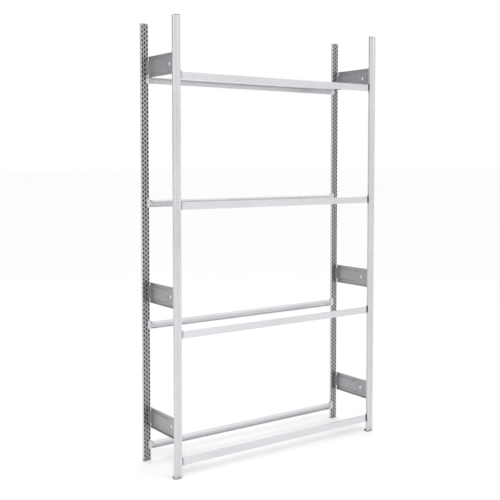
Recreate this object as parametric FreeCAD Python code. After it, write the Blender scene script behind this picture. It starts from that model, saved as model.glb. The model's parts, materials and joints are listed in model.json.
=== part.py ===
"""Tyre storage rack: two perforated end frames joined by pairs of hook-in tyre beams.

Millimetres. +Z is up, -Y is the front, +X is to the right when seen from the front.
The origin lies on the floor, midway between the four posts.
Shapes are first made at the front left corner, with x counted from the rack's left edge
and y from its front face, and then moved, mirrored or turned to their places.
"""
import FreeCAD
import Part
import math
import os

Vector = FreeCAD.Vector
UP = Vector(0, 0, 1)

# Overall size
overall_width = 1468.0
overall_depth = 370.0

# Posts: closed flat sections, perforated on the side that faces into the rack
post_length = 2500.0
post_width = 46.0
post_depth = 16.0
post_wall = 1.5
post_bend = 1.5
groove_width = 12.0
groove_depth = 2.5
groove_bend = 1.6

# Perforation: three columns of upright slots, the middle one half a pitch higher
slot_pitch = 25.0
slot_width = 10.0
slot_height = 15.0
column_spacing = 31.0
first_slot = 4.5

# Feet and caps
foot_base = 1.5
foot_inset = 1.0
foot_tail = 15.0
foot_tail_height = 11.0
foot_tail_wall = 2.5
cap_top = 3.0
cap_setback = 9.0
plug_height = 14.0
plug_gap = 0.3
plug_corner = 0.8
plastic_corner = 2.0

# Levels
level_spacing = 700.0
lowest_beam = 67.0
level_count = 4

# Tyre beams: rolled channels, open towards the inside of the rack
beam_length = 1350.0
beam_height = 40.0
beam_depth = 30.0
beam_wall = 1.5
beam_bend = 2.0
beam_drop = 5.0
beam_lip = 6.0
beam_foot_flange = 16.0
beam_recess = 4.0

# Hook brackets at the beams' ends
bracket_wall = 2.0
bracket_bend = 1.0
bracket_height = 45.0
bracket_reach = 6.0
bracket_tongue = 28.0
tongue_bottom = 5.0
tongue_top = 33.0
running_gap = 0.3

# Hooks, on brackets and panels
hook_thickness = 3.0
hook_neck = 6.8
hook_drop = 7.0
hook_head = 3.0
hook_spacing = slot_pitch

# Side panels: shallow trays that tie a front post to a rear post
panel_wall = 1.25
panel_bend = 1.25
panel_height = 115.0
panel_flange = 12.0
panel_end_flange = 13.0
panel_tab_height = 72.0
panel_tab_step = 6.0
panel_slot_setback = 102.0
panel_slot_width = 9.0
panel_slot_height = 18.0
panel_field_setback = 124.0
panel_field_length = 190.0
panel_field_height = 74.0
panel_field_rise = 3.0
panel_field_slope = 5.0
panel_slots_up = {"lower": 10, "middle": 39, "upper": 90}

# Places worked out from the sizes above
left_edge = -overall_width / 2
front_face = -overall_depth / 2
post_foot = foot_base
post_centre = post_width / 2
inner_column = post_centre + column_spacing / 2
beam_start = (overall_width - beam_length) / 2
hook_rest = slot_height / 2 - 2 * running_gap


def unit(start, end):
    """Unit vector from start to end, both (x, y) pairs."""
    length = math.hypot(end[0] - start[0], end[1] - start[1])
    return ((end[0] - start[0]) / length, (end[1] - start[1]) / length)


def turn_at(before, corner, after):
    """Cross product of the two runs at a corner: positive where the path turns left."""
    ahead = unit(before, corner)
    onward = unit(corner, after)
    return ahead[0] * onward[1] - ahead[1] * onward[0]


def shifted_path(points, distance):
    """An open path moved sideways to its left by distance, with mitred corners."""
    shifted = []
    for index, point in enumerate(points):
        before = unit(points[index - 1], point) if index > 0 else None
        after = unit(point, points[index + 1]) if index < len(points) - 1 else None
        first = before or after
        second = after or before
        scale = distance / (1 + first[0] * second[0] + first[1] * second[1])
        shifted.append(
            (
                point[0] - (first[1] + second[1]) * scale,
                point[1] + (first[0] + second[0]) * scale,
            )
        )
    return shifted


def rounded_wire(points, radii):
    """Closed wire in the XY plane through (x, y) points, each corner rounded by its radius."""
    count = len(points)
    ends = []
    arcs = []
    for index, corner in enumerate(points):
        radius = radii[index]
        back = unit(corner, points[index - 1])
        onward = unit(corner, points[(index + 1) % count])
        half = math.acos(back[0] * onward[0] + back[1] * onward[1]) / 2
        reach = radius / math.tan(half)
        start = Vector(corner[0] + back[0] * reach, corner[1] + back[1] * reach, 0)
        end = Vector(corner[0] + onward[0] * reach, corner[1] + onward[1] * reach, 0)
        ends.append((start, end))
        if radius > 0:
            inward = Vector(back[0] + onward[0], back[1] + onward[1], 0).normalize()
            middle = Vector(corner[0], corner[1], 0) + inward * (radius / math.sin(half) - radius)
            arcs.append(Part.Arc(start, middle, end).toShape())
        else:
            arcs.append(None)
    edges = []
    for index in range(count):
        if arcs[index] is not None:
            edges.append(arcs[index])
        run_start = ends[index][1]
        run_end = ends[(index + 1) % count][0]
        edges.append(Part.LineSegment(run_start, run_end).toShape())
    return Part.Wire(edges)


def sheet_face(path, wall, bend):
    """Face of bent sheet in the XY plane: the path is one skin, the other lies to its left."""
    other = shifted_path(path, wall)
    turns = [turn_at(path[i - 1], path[i], path[i + 1]) for i in range(1, len(path) - 1)]
    near = [0] + [bend + wall if turn > 0 else bend for turn in turns] + [0]
    far = [0] + [bend if turn > 0 else bend + wall for turn in turns] + [0]
    outline = rounded_wire(path + other[::-1], near + far[::-1])
    return Part.Face(outline)


def box(x_range, y_range, z_range):
    """Box between two limits along each axis."""
    size = [high - low for low, high in (x_range, y_range, z_range)]
    corner = Vector(x_range[0], y_range[0], z_range[0])
    return Part.makeBox(size[0], size[1], size[2], corner)


def rounded_block(x_range, y_range, z_range, radius):
    """Box with its four upright edges rounded."""
    corners = [
        (x_range[0], y_range[0]),
        (x_range[1], y_range[0]),
        (x_range[1], y_range[1]),
        (x_range[0], y_range[1]),
    ]
    face = Part.Face(rounded_wire(corners, [radius] * 4))
    block = face.extrude(UP * (z_range[1] - z_range[0]))
    block.translate(UP * z_range[0])
    return block


def upright_slot(x, y_range, z, width, height):
    """Cutting body of a round-ended slot that runs along Y."""
    reach = (height - width) / 2
    radius = width / 2
    low = Vector(x, y_range[0], z - reach)
    high = Vector(x, y_range[0], z + reach)
    side = Vector(radius, 0, 0)
    edges = [
        Part.LineSegment(low + side, high + side).toShape(),
        Part.Arc(high + side, high + UP * radius, high - side).toShape(),
        Part.LineSegment(high - side, low - side).toShape(),
        Part.Arc(low - side, low - UP * radius, low + side).toShape(),
    ]
    face = Part.Face(Part.Wire(edges))
    return face.extrude(Vector(0, y_range[1] - y_range[0], 0))


def post_outline(inset):
    """Outline of the post's section, moved inwards by inset, with the groove in its front."""
    half_groove = groove_width / 2 + inset * math.tan(math.pi / 8)
    front = inset
    groove = groove_depth + inset
    points = [
        (inset, front),
        (post_centre - half_groove, front),
        (post_centre - half_groove + groove_depth, groove),
        (post_centre + half_groove - groove_depth, groove),
        (post_centre + half_groove, front),
        (post_width - inset, front),
        (post_width - inset, post_depth - inset),
        (inset, post_depth - inset),
    ]
    corner = post_bend + post_wall - inset
    radii = [corner, groove_bend, groove_bend, groove_bend, groove_bend, corner, corner, corner]
    return rounded_wire(points, radii)


def perforation():
    """All the slots of one post, as cutting bodies."""
    wall = (post_depth - 2 * post_wall, post_depth + post_wall)
    slots = []
    for row in range(int(post_length / slot_pitch) + 1):
        z = post_foot + first_slot + row * slot_pitch
        for side in (-1, 1):
            x = post_centre + side * column_spacing / 2
            slots.append(upright_slot(x, wall, z, slot_width, slot_height))
        middle_z = z + slot_pitch / 2
        if middle_z + slot_height < post_foot + post_length + slot_pitch / 2:
            slots.append(upright_slot(post_centre, wall, middle_z, slot_width, slot_height))
    return Part.makeCompound(slots)


def make_post():
    """One post at the front left corner."""
    skin = Part.Face(post_outline(0)).extrude(UP * post_length)
    core = Part.Face(post_outline(post_wall)).extrude(UP * post_length)
    tube = skin.cut(core)
    tube.translate(UP * post_foot)
    return tube.cut(perforation())


def post_plug(z_range):
    """Plug that fills the end of a post's hollow, clear of its walls."""
    inset = post_wall + groove_depth + plug_gap
    sides = (post_wall + plug_gap, post_width - post_wall - plug_gap)
    return rounded_block(sides, (inset, post_depth - post_wall - plug_gap), z_range, plug_corner)


def foot_base_plate(depth):
    """Plate that a post stands on, and that reaches depth from the post's front."""
    sides = (foot_inset, post_width - foot_inset)
    return rounded_block(sides, (foot_inset, depth), (0, foot_base), plastic_corner)


def make_rear_foot():
    """Foot that shows only as a thin plate: the plate and a plug inside the post."""
    plug = post_plug((foot_base, foot_base + plug_height))
    return foot_base_plate(post_depth - foot_inset).fuse(plug).removeSplitter()


def make_front_foot():
    """Foot with a hollow heel that stands out behind the post's perforated side."""
    end = post_depth + foot_tail
    sides = (foot_inset, post_width - foot_inset)
    heel = rounded_block(sides, (post_depth, end), (0, foot_tail_height), plastic_corner)
    pocket = rounded_block(
        (sides[0] + foot_tail_wall, sides[1] - foot_tail_wall),
        (post_depth + foot_tail_wall, end - foot_tail_wall),
        (foot_base, foot_tail_height),
        plastic_corner,
    )
    plug = post_plug((foot_base, foot_base + plug_height))
    return foot_base_plate(end).fuse([heel.cut(pocket), plug]).removeSplitter()


def make_cap():
    """Moulded cap: a plug, and a plate with the post's outline, short of its outer edge."""
    top = post_foot + post_length
    lid = Part.Face(post_outline(0)).extrude(UP * cap_top)
    lid.translate(UP * top)
    lid = lid.cut(box((0, cap_setback), (0, post_depth), (top, top + cap_top)))
    return lid.fuse(post_plug((top - plug_height, top))).removeSplitter()


def hook(wall_face, inward, slot_z):
    """Hook that leaves a plate at wall_face, passes a slot and drops behind the post's wall.

    inward is -1 or 1, the way along Y that leads into the post's hollow.
    """
    side = inner_column - hook_thickness / 2
    neck_bottom = slot_z - hook_rest
    behind = wall_face + inward * (post_wall + 2 * running_gap)
    tip = behind + inward * hook_head
    outline = [
        (wall_face, neck_bottom),
        (wall_face, neck_bottom + hook_neck),
        (tip, neck_bottom + hook_neck),
        (tip, neck_bottom - hook_drop + hook_head / 2),
        (tip - inward * hook_head / 2, neck_bottom - hook_drop),
        (behind, neck_bottom - hook_drop),
        (behind, neck_bottom),
    ]
    corners = [Vector(side, y, z) for y, z in outline]
    face = Part.Face(Part.makePolygon(corners + corners[:1]))
    return face.extrude(Vector(hook_thickness, 0, 0))


def bracket_slots():
    """Heights of the two slots that hold a bracket of the lowest level."""
    above = lowest_beam + hook_rest - post_foot - first_slot
    lower = post_foot + first_slot + math.ceil(above / slot_pitch) * slot_pitch
    return [lower, lower + hook_spacing]


def make_bracket():
    """Joggled hook plate at the left end of the lowest front beam."""
    plate_front = post_depth + running_gap
    tongue_front = beam_recess + beam_wall
    path = [
        (inner_column - bracket_reach, plate_front),
        (post_width + bracket_wall, plate_front),
        (beam_start - bracket_wall, tongue_front),
        (beam_start + bracket_tongue, tongue_front),
    ]
    blank = sheet_face(path, bracket_wall, bracket_bend).extrude(UP * bracket_height)
    inside_beam = (beam_start - running_gap, beam_start + bracket_tongue)
    trims = [
        box(inside_beam, (0, post_depth), (tongue_top, bracket_height)),
        box(inside_beam, (0, post_depth), (0, tongue_bottom)),
    ]
    bracket = blank.cut(trims)
    bracket.translate(UP * lowest_beam)
    return bracket.fuse([hook(plate_front, -1, z) for z in bracket_slots()]).removeSplitter()


def make_beam():
    """The lowest front beam: face, sloping tyre flange with its lip, and short foot flange."""
    path = [
        (beam_depth, beam_height - beam_drop - beam_lip),
        (beam_depth, beam_height - beam_drop),
        (0, beam_height),
        (0, 0),
        (beam_foot_flange, 0),
    ]
    beam = sheet_face(path, beam_wall, beam_bend).extrude(UP * beam_length)
    beam.rotate(Vector(0, 0, 0), Vector(1, 1, 1), 120)
    beam.translate(Vector(beam_start, beam_recess, lowest_beam))
    return beam


def panel_tray():
    """Folded plate of a side panel with its top and bottom flanges."""
    half = panel_height / 2
    path = [
        (post_width - panel_flange, -half),
        (post_width, -half),
        (post_width, half),
        (post_width - panel_flange, half),
    ]
    setback = post_depth + panel_tab_step
    length = overall_depth - 2 * setback
    tray = sheet_face(path, panel_wall, panel_bend).extrude(UP * -length)
    tray.rotate(Vector(0, 0, 0), Vector(1, 0, 0), 90)
    tray.translate(Vector(0, setback, 0))
    return tray


def panel_tabs():
    """Middle band of a side panel, whose bent ends lie on the posts."""
    near = post_depth
    far = overall_depth - post_depth
    path = [
        (post_width - panel_end_flange, near),
        (post_width, near),
        (post_width, far),
        (post_width - panel_end_flange, far),
    ]
    band = sheet_face(path, panel_wall, panel_bend).extrude(UP * panel_tab_height)
    band.translate(UP * (-panel_tab_height / 2))
    return band


def panel_field(skin, inset):
    """Tapered block of a side panel's stamped field, from the skin at x = skin towards -X."""
    length = panel_field_length / 2 - inset
    height = panel_field_height / 2 - inset
    slope = panel_field_slope
    block = Part.makeWedge(
        -length, 0, -height, slope - height, slope - length,
        length, panel_field_rise, height, height - slope, length - slope,
    )
    block.rotate(Vector(0, 0, 0), UP, 90)
    block.translate(Vector(skin, post_depth + panel_field_setback + panel_field_length / 2, 0))
    return block


def make_panel():
    """Side panel of the left end, centred at height zero, with two hooks at each end."""
    field_turn = math.atan(panel_field_rise / panel_field_slope)
    field_inset = panel_wall * math.tan(field_turn / 2)
    raised = panel_field(post_width - panel_wall, 0)
    hollow = panel_field(post_width, field_inset)
    slot = upright_slot(0, (-post_width, post_width), 0, panel_slot_width, panel_slot_height)
    slot.rotate(Vector(0, 0, 0), UP, 90)
    slot.translate(Vector(post_width, post_depth + panel_slot_setback, 0))
    hooks = []
    for slot_z in (-hook_spacing, hook_spacing):
        hooks.append(hook(post_depth, -1, slot_z))
        hooks.append(hook(overall_depth - post_depth, 1, slot_z))
    plate = panel_tray().fuse([panel_tabs(), raised])
    return plate.cut([hollow, slot]).fuse(hooks).removeSplitter()


def moved(shape, x, y, z):
    """Copy of a shape, moved."""
    copy = shape.copy()
    copy.translate(Vector(x, y, z))
    return copy


def turned_to_rear(shape):
    """Copy of a shape, turned half a turn about the rack's upright middle line."""
    copy = shape.copy()
    copy.rotate(Vector(0, 0, 0), UP, 180)
    return copy


def export(name, shape):
    """Writes one sub-part to its own STEP file."""
    shape.exportStep("parts/" + name + ".step")
    print(name, len(shape.Solids), shape.isValid(), round(shape.Volume))


def mirrored(shape):
    """Mirror image of a shape, at the rack's other end."""
    return shape.mirror(Vector(0, 0, 0), Vector(1, 0, 0))


def export_front_pair(kind, shape):
    """Writes a front left shape and its mirror image at the front right post."""
    export("left_front_" + kind, shape)
    export("right_front_" + kind, mirrored(shape))


def export_rear_pair(kind, shape):
    """Writes copies of a front left shape at the two rear posts, turned to face the front."""
    export("right_rear_" + kind, turned_to_rear(shape))
    export("left_rear_" + kind, turned_to_rear(mirrored(shape)))


def export_level(level, beam, bracket):
    """Writes the front and rear beam of one level, with the brackets at their ends."""
    rise = level * level_spacing
    front_beam = moved(beam, 0, 0, rise)
    left_bracket = moved(bracket, 0, 0, rise)
    right_bracket = mirrored(left_bracket)
    front_name = "front_beam_" + str(level + 1)
    rear_name = "rear_beam_" + str(level + 1)
    export(front_name, front_beam)
    export(front_name + "_left_bracket", left_bracket)
    export(front_name + "_right_bracket", right_bracket)
    export(rear_name, turned_to_rear(front_beam))
    export(rear_name + "_left_bracket", turned_to_rear(right_bracket))
    export(rear_name + "_right_bracket", turned_to_rear(left_bracket))


def at_corner(shape):
    """Moves a shape from corner coordinates to the rack's own."""
    return moved(shape, left_edge, front_face, 0)


def main():
    """Makes every sub-part and writes it."""
    os.makedirs("parts", exist_ok=True)
    post = at_corner(make_post())
    export_front_pair("post", post)
    export_rear_pair("post", post)
    export_front_pair("foot", at_corner(make_front_foot()))
    export_rear_pair("foot", at_corner(make_rear_foot()))
    export_front_pair("cap", at_corner(make_cap()))
    panel = at_corner(make_panel())
    for place, slots_up in panel_slots_up.items():
        height = post_foot + first_slot + slots_up * slot_pitch
        export("left_" + place + "_panel", moved(panel, 0, 0, height))
        export("right_" + place + "_panel", moved(panel, overall_width - post_width, 0, height))
    beam = at_corner(make_beam())
    bracket = at_corner(make_bracket())
    for level in range(level_count):
        export_level(level, beam, bracket)


main()
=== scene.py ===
"""Looks of the tyre storage rack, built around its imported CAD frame.

Every visible piece is a CAD node. This script gives each one a procedural material, and adds
the floor, the studio light and the camera. Metres, in the CAD's own frame.
"""
import json
import math

import bpy
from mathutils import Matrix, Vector


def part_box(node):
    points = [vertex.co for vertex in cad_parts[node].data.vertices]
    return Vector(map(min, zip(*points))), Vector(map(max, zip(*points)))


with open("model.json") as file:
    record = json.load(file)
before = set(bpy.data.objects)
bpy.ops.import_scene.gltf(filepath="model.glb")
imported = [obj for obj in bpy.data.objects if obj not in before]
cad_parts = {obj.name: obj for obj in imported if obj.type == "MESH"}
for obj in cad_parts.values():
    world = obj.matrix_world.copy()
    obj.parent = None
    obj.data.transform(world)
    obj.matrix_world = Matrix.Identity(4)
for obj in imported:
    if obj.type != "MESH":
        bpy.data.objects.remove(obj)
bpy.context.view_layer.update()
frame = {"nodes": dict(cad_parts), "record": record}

# Camera
CAMERA_PLACE = (-3.054, -4.121, 1.727)
CAMERA_TURN = 35.61
CAMERA_DIP = 3.25
CAMERA_LENS = 61.52
CAMERA_SENSOR = 36.0
CAMERA_SHIFT_Y = -0.08

# Studio
FLOOR_SIZE = 300.0
FLOOR_COLOUR = (0.9, 0.9, 0.9, 1)
FLOOR_ROUGHNESS = 0.9
FLOOR_SHINE = 0.25
SURROUND_BRIGHT = (1.0, 1.0, 1.0, 1)
SURROUND_SHADED = (0.36, 0.365, 0.38, 1)
OVERHEAD_STRENGTH = 0.75
OVERHEAD_SPREAD = 90
SHADED_FROM = -0.75
BRIGHT_FROM = -0.1
KEY_PLACE = (-3.5, -4.0, 4.5)
KEY_AIM = (0, 0, 1.2)
KEY_SIZE = 3.0
KEY_POWER = 120

# Zinc tones
COOL = (0.985, 0.995, 1.02)
WARM = (1.012, 1.0, 0.985)
# Painted shade: tone of the posts' inner faces, towards the rack's middle
INNER_FACE_SHADE_TONE = 0.58
# Painted shade: tone in crevices, channel insides and close to the floor
CREVICE_SHADE_TONE = 0.12
WORN_TONE = 1.35
BRIGHTEST_ZINC = 0.97
BRIGHTEST_EDGE = 0.95

# Zinc detail: scales are features per metre, heights and reaches are metres
SPANGLE_SCALE = 95.0
ROLLING_SCALE = 60.0
CLOUD_SCALE = 3.2
GRAIN_SCALE = 420.0
SPANGLE_CONTRAST = 0.25
ROLLING_CONTRAST = 0.22
CLOUD_CONTRAST = 0.3
GLOSS_CONTRAST = 0.05
SPANGLE_HEIGHT = 0.00002
ROLLING_HEIGHT = 0.00004
GRAIN_HEIGHT = 0.00002
WORN_REACH = 0.0012
# Reach of the painted shade in crevices
CREVICE_SHADE_REACH = 0.03
STAMPED_MARGIN = 0.0003

# Rolling directions: the noise is drawn out along the axis with the small scale
UPRIGHT = (1.0, 1.0, 0.02)
LENGTHWISE = (0.02, 1.0, 1.0)
ACROSS = (1.0, 0.02, 1.0)

# Zinc of each slot, with the open views at which the painted shade in its crevices is darkest and
# at which it ends
ZINC = {
    "post_steel": {
        "grey": 0.65,
        "contrast": 0.07,
        "rolling": UPRIGHT,
        "roughness": 0.42,
        "metallic": 0.85,
        "crevice_shading": (0.25, 0.85),
        # Painted shade on the posts' inner faces
        "shade_inner_faces": True,
    },
    "beam_steel": {
        "grey": 0.68,
        "contrast": 0.05,
        "rolling": LENGTHWISE,
        "roughness": 0.36,
        "metallic": 0.85,
        "crevice_shading": (0.1, 0.5),
    },
    "panel_steel": {
        "grey": 0.385,
        "contrast": 0.10,
        "rolling": ACROSS,
        "roughness": 0.38,
        "metallic": 0.7,
        "crevice_shading": (0.1, 0.5),
    },
    "bracket_steel": {
        "grey": 0.66,
        "contrast": 0.05,
        "rolling": UPRIGHT,
        "roughness": 0.45,
        "metallic": 0.5,
        "crevice_shading": (0.0, 0.3),
    },
}

# Plastic
PLASTIC_DARK = 0.11
PLASTIC_PALE = 0.18
PLASTIC_SCUFF = 0.3
PLASTIC_GRAIN_SCALE = 900.0
PLASTIC_CLOUD_SCALE = 40.0
PLASTIC_GRAIN_HEIGHT = 0.00006
SCUFF_REACH = 0.0008

nodes = frame["nodes"]


# ---------------------------------------------------------------- camera, light and floor


def add_camera():
    """Camera at standing eye height, nearly level, in front of the rack and to its left."""
    data = bpy.data.cameras.new("camera")
    data.sensor_width = CAMERA_SENSOR
    data.lens = CAMERA_LENS
    data.shift_y = CAMERA_SHIFT_Y
    data.clip_end = 2 * FLOOR_SIZE
    camera = bpy.data.objects.new("camera", data)
    camera.location = CAMERA_PLACE
    camera.rotation_euler = (math.radians(90 - CAMERA_DIP), 0, math.radians(-CAMERA_TURN))
    bpy.context.scene.collection.objects.link(camera)
    bpy.context.scene.camera = camera


def add_area_light(name, place, aim, size, power):
    """Square soft box at place, turned to aim."""
    data = bpy.data.lights.new(name, "AREA")
    data.shape = "SQUARE"
    data.size = size
    data.energy = power
    light = bpy.data.objects.new(name, data)
    light.location = place
    direction = Vector(aim) - Vector(place)
    light.rotation_euler = direction.to_track_quat("-Z", "Y").to_euler()
    bpy.context.scene.collection.objects.link(light)


def add_sun(name, strength, spread):
    """Even light from straight above, softened over spread degrees."""
    data = bpy.data.lights.new(name, "SUN")
    data.energy = strength
    data.angle = math.radians(spread)
    light = bpy.data.objects.new(name, data)
    bpy.context.scene.collection.objects.link(light)


def add_world():
    """Surround whose light is shaded towards the rack's left side; seen directly, it is white."""
    world = bpy.data.worlds.new("studio")
    world.use_nodes = True
    tree = world.node_tree
    direction = tree.nodes.new("ShaderNodeTexCoord").outputs["Generated"]
    parts = tree.nodes.new("ShaderNodeSeparateXYZ")
    tree.links.new(direction, parts.inputs["Vector"])
    ramp = tree.nodes.new("ShaderNodeMapRange")
    ramp.interpolation_type = "SMOOTHSTEP"
    ramp.inputs["From Min"].default_value = SHADED_FROM
    ramp.inputs["From Max"].default_value = BRIGHT_FROM
    tree.links.new(parts.outputs["X"], ramp.inputs["Value"])
    mix = tree.nodes.new("ShaderNodeMix")
    mix.data_type = "RGBA"
    mix.inputs[6].default_value = SURROUND_SHADED
    mix.inputs[7].default_value = SURROUND_BRIGHT
    tree.links.new(ramp.outputs["Result"], mix.inputs["Factor"])
    backdrop = tree.nodes.new("ShaderNodeMix")
    backdrop.data_type = "RGBA"
    backdrop.inputs[7].default_value = SURROUND_BRIGHT
    seen = tree.nodes.new("ShaderNodeLightPath").outputs["Is Camera Ray"]
    tree.links.new(seen, backdrop.inputs["Factor"])
    tree.links.new(mix.outputs[2], backdrop.inputs[6])
    tree.links.new(backdrop.outputs[2], tree.nodes["Background"].inputs["Color"])
    bpy.context.scene.world = world


def add_floor():
    """Plain pale floor, larger than any view of it."""
    half = FLOOR_SIZE / 2
    corners = [(-half, -half), (half, -half), (half, half), (-half, half)]
    mesh = bpy.data.meshes.new("floor")
    mesh.from_pydata([(x, y, 0.0) for x, y in corners], [], [(0, 1, 2, 3)])
    floor = bpy.data.objects.new("floor", mesh)
    bpy.context.scene.collection.objects.link(floor)
    material = bpy.data.materials.new("floor_paint")
    material.use_nodes = True
    shader = material.node_tree.nodes["Principled BSDF"]
    shader.inputs["Base Color"].default_value = FLOOR_COLOUR
    shader.inputs["Roughness"].default_value = FLOOR_ROUGHNESS
    shader.inputs["Specular IOR Level"].default_value = FLOOR_SHINE
    mesh.materials.append(material)


# ---------------------------------------------------------------- materials


class Sheet:
    """A material's node tree, with short calls for the nodes used here."""

    def __init__(self, name):
        self.material = bpy.data.materials.new(name)
        self.material.use_nodes = True
        self.tree = self.material.node_tree
        self.shader = self.tree.nodes["Principled BSDF"]
        self.coords = self.tree.nodes.new("ShaderNodeTexCoord").outputs["Object"]

    def node(self, kind, values=None, **settings):
        """New node; settings are its properties, values its sockets' values or links."""
        made = self.tree.nodes.new(kind)
        for key, value in settings.items():
            setattr(made, key, value)
        for key, value in (values or {}).items():
            self.feed(made.inputs[key], value)
        return made

    def feed(self, socket, value):
        """Links a socket to an output, or sets it to a constant."""
        if isinstance(value, bpy.types.NodeSocket):
            self.tree.links.new(value, socket)
        else:
            socket.default_value = value

    def stretched(self, scale):
        """Object coordinates scaled along each axis."""
        mapping = self.node("ShaderNodeMapping", {"Vector": self.coords, "Scale": scale})
        return mapping.outputs["Vector"]

    def noise(self, vector, scale, detail, roughness):
        """Grey noise between 0 and 1."""
        values = {"Vector": vector, "Scale": scale, "Detail": detail, "Roughness": roughness}
        return self.node("ShaderNodeTexNoise", values).outputs["Fac"]

    def spread(self, value, low, high, new_low, new_high):
        """Value mapped from one range to another, clamped."""
        values = {
            "Value": value,
            "From Min": low,
            "From Max": high,
            "To Min": new_low,
            "To Max": new_high,
        }
        return self.node("ShaderNodeMapRange", values).outputs["Result"]

    def math(self, operation, first, second):
        """One arithmetic step."""
        made = self.node("ShaderNodeMath", operation=operation)
        self.feed(made.inputs[0], first)
        self.feed(made.inputs[1], second)
        return made.outputs[0]

    def mix(self, factor, first, second, blend="MIX"):
        """Mix of two colours."""
        made = self.node("ShaderNodeMix", data_type="RGBA", blend_type=blend)
        self.feed(made.inputs["Factor"], factor)
        self.feed(made.inputs[6], first)
        self.feed(made.inputs[7], second)
        return made.outputs[2]

    def edge_wear(self, radius):
        """1 where the surface turns sharply, 0 on flat faces."""
        bevel = self.node("ShaderNodeBevel", {"Radius": radius}, samples=6)
        plain = self.node("ShaderNodeNewGeometry").outputs["Normal"]
        dot = self.node("ShaderNodeVectorMath", operation="DOT_PRODUCT")
        self.feed(dot.inputs[0], bevel.outputs["Normal"])
        self.feed(dot.inputs[1], plain)
        return self.spread(dot.outputs["Value"], 0.98, 0.8, 0.0, 1.0)

    def crevice_shading(self, reach, low, high):
        """Painted shade mask: 0 where hollows shut out more than low of the open view, 1 on open
        faces.
        """
        painted_hollow_shade = self.node("ShaderNodeAmbientOcclusion", {"Distance": reach}, samples=8)
        return self.spread(painted_hollow_shade.outputs["AO"], low, high, 0.0, 1.0)

    def vary(self, value, amount):
        """Noise turned into a change between -amount and amount."""
        return self.spread(value, 0.3, 0.7, -amount, amount)

    def bump(self, height, distance, normal=None):
        """Bump from a height, on top of another normal if one is given."""
        values = {"Height": height, "Distance": distance, "Strength": 1.0}
        made = self.node("ShaderNodeBump", values)
        if normal is not None:
            self.feed(made.inputs["Normal"], normal)
        return made.outputs["Normal"]

    def finish(self, **sockets):
        """Sets the shader's sockets, named with _ for a space, and returns the material."""
        for name, value in sockets.items():
            self.feed(self.shader.inputs[name.replace("_", " ")], value)
        return self.material


def colour(value, tint=(1.0, 1.0, 1.0)):
    """Grey of a given brightness with a slight tint, as RGBA."""
    return (value * tint[0], value * tint[1], value * tint[2], 1.0)


def inner_face_shade(sheet, base):
    """Painted shade: darker zinc on the posts' perforated faces, which look towards the rack's
    middle.
    """
    parts = sheet.node("ShaderNodeSeparateXYZ", {"Vector": sheet.coords})
    from_middle = sheet.math("ABSOLUTE", parts.outputs["Y"], 0.0)
    face = abs(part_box("left_rear_post")[0].y) + STAMPED_MARGIN
    inner = sheet.math("LESS_THAN", from_middle, face)
    shaded_base = sheet.mix(1.0, base, colour(INNER_FACE_SHADE_TONE, WARM), "MULTIPLY")
    return sheet.mix(inner, base, shaded_base)


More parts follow.
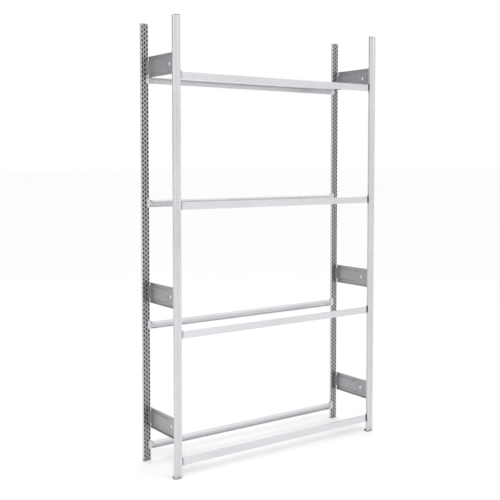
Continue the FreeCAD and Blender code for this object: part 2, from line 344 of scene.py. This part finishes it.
def zinc_sheet(name, grey, contrast, rolling, roughness, metallic, crevice_shading, shade_inner_faces=False):
    """Galvanised sheet: crystal spangle, rolling lines along one axis, bright worn edges, painted
    shade in crevices and, where asked, on the posts' inner faces.
    """
    sheet = Sheet(name)
    spangle = sheet.node(
        "ShaderNodeTexVoronoi",
        {"Vector": sheet.coords, "Scale": SPANGLE_SCALE, "Randomness": 1.0},
        feature="F1",
    )
    tone = sheet.node("ShaderNodeSeparateColor", {"Color": spangle.outputs["Color"]})
    crystal = tone.outputs["Red"]
    lines = sheet.noise(sheet.stretched(rolling), ROLLING_SCALE, 4.0, 0.65)
    cloud = sheet.noise(sheet.coords, CLOUD_SCALE, 4.0, 0.55)
    fine = sheet.noise(sheet.coords, GRAIN_SCALE, 2.0, 0.5)

    spangled = sheet.spread(crystal, 0.0, 1.0, -SPANGLE_CONTRAST, SPANGLE_CONTRAST)
    shade = sheet.math("ADD", spangled, 0.5)
    shade = sheet.math("ADD", shade, sheet.vary(lines, ROLLING_CONTRAST))
    shade = sheet.math("ADD", shade, sheet.vary(cloud, CLOUD_CONTRAST))
    low = colour(grey * (1 - contrast), COOL)
    high = colour(min(grey * (1 + contrast), BRIGHTEST_ZINC), COOL)
    base = sheet.mix(shade, low, high)
    patches = sheet.spread(cloud, 0.35, 0.6, 0.25, 0.9)
    worn = sheet.math("MULTIPLY", sheet.edge_wear(WORN_REACH), patches)
    base = sheet.mix(worn, base, colour(min(grey * WORN_TONE, BRIGHTEST_EDGE), COOL))
    # Painted shade on the posts' inner faces, towards the rack's middle
    if shade_inner_faces:
        base = inner_face_shade(sheet, base)
    # Painted shade in crevices, channel insides and close to the floor, from ambient occlusion
    painted_hollow_shade = colour(grey * CREVICE_SHADE_TONE)
    base = sheet.mix(sheet.crevice_shading(CREVICE_SHADE_REACH, *crevice_shading), painted_hollow_shade, base)

    glossed = sheet.spread(crystal, 0.0, 1.0, -GLOSS_CONTRAST, GLOSS_CONTRAST)
    rough = sheet.math("ADD", glossed, roughness)
    rough = sheet.math("ADD", rough, sheet.vary(lines, GLOSS_CONTRAST))
    normal = sheet.bump(crystal, SPANGLE_HEIGHT)
    normal = sheet.bump(lines, ROLLING_HEIGHT, normal)
    normal = sheet.bump(fine, GRAIN_HEIGHT, normal)
    return sheet.finish(Base_Color=base, Metallic=metallic, Roughness=rough, Normal=normal)


def moulded_plastic(name):
    """Dark moulded polyethylene: fine grain, scuffed pale edges, dust in patches."""
    sheet = Sheet(name)
    grain = sheet.noise(sheet.coords, PLASTIC_GRAIN_SCALE, 2.0, 0.6)
    cloud = sheet.noise(sheet.coords, PLASTIC_CLOUD_SCALE, 4.0, 0.6)
    dust = sheet.spread(cloud, 0.35, 0.7, 0.0, 1.0)
    base = sheet.mix(dust, colour(PLASTIC_DARK), colour(PLASTIC_PALE))
    patches = sheet.spread(cloud, 0.4, 0.6, 0.1, 0.6)
    worn = sheet.math("MULTIPLY", sheet.edge_wear(SCUFF_REACH), patches)
    base = sheet.mix(worn, base, colour(PLASTIC_SCUFF))
    rough = sheet.spread(grain, 0.3, 0.7, 0.42, 0.62)
    normal = sheet.bump(grain, PLASTIC_GRAIN_HEIGHT)
    return sheet.finish(Base_Color=base, Roughness=rough, Normal=normal)


def slot_materials():
    """The record's material slots and the procedural material that each one gets."""
    looks = {slot: zinc_sheet(slot + "_look", **values) for slot, values in ZINC.items()}
    looks["dark_plastic"] = moulded_plastic("dark_plastic_look")
    return looks


def dress_nodes():
    """Gives every CAD node the material of its slot."""
    looks = slot_materials()
    for part in frame["record"]["subparts"]:
        node = nodes[part["node"]]
        for index in range(len(node.material_slots)):
            node.material_slots[index].material = looks[part["material_slot"]]


bpy.context.scene.view_settings.view_transform = "Standard"
add_camera()
add_world()
add_floor()
add_area_light("key", KEY_PLACE, KEY_AIM, KEY_SIZE, KEY_POWER)
add_sun("overhead", OVERHEAD_STRENGTH, OVERHEAD_SPREAD)
dress_nodes()
